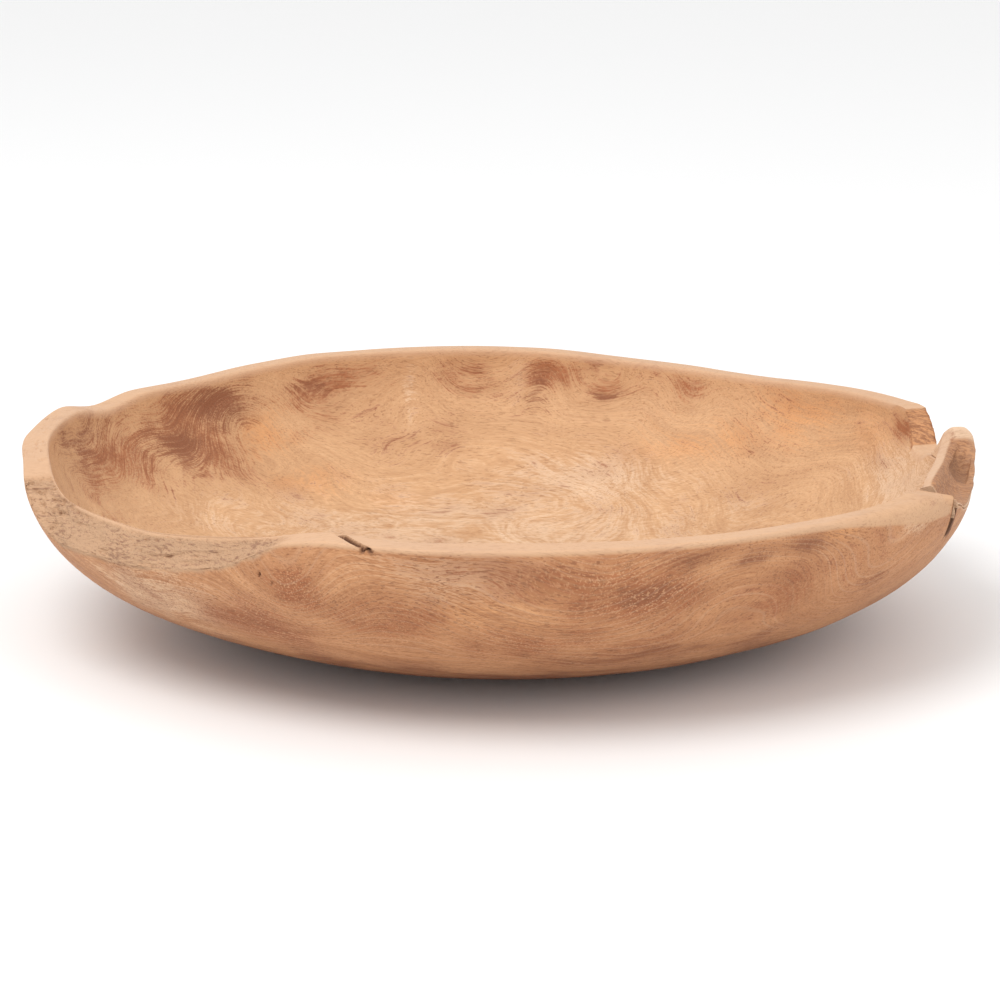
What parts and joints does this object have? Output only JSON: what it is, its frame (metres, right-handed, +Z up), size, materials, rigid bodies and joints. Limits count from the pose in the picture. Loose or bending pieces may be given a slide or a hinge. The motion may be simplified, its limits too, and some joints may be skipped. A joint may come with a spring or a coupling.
{
  "type": "carved wooden bowl",
  "caption": "Wide shallow bowl carved from one teak root, with a natural uneven rim, a rough side face and a cracked end lobe.",
  "frame": {"origin": "centre of the flat foot that the bowl stands on", "axes": "+Z up out of the bowl, +X along its length towards the end with the crack and the root lobe, -Y towards the front with the rough natural face"},
  "size_m": [0.5001, 0.4438, 0.1008],
  "materials": {
    "teak_body": "sanded, unvarnished",
    "teak_lobe": "sanded, unvarnished",
    "teak_split": "raw split grain"
  },
  "bodies": {
    "root": {"bowl_body": "teak_body", "root_lobe": "teak_lobe", "split_slivers": "teak_split"}
  },
  "joints": []
}
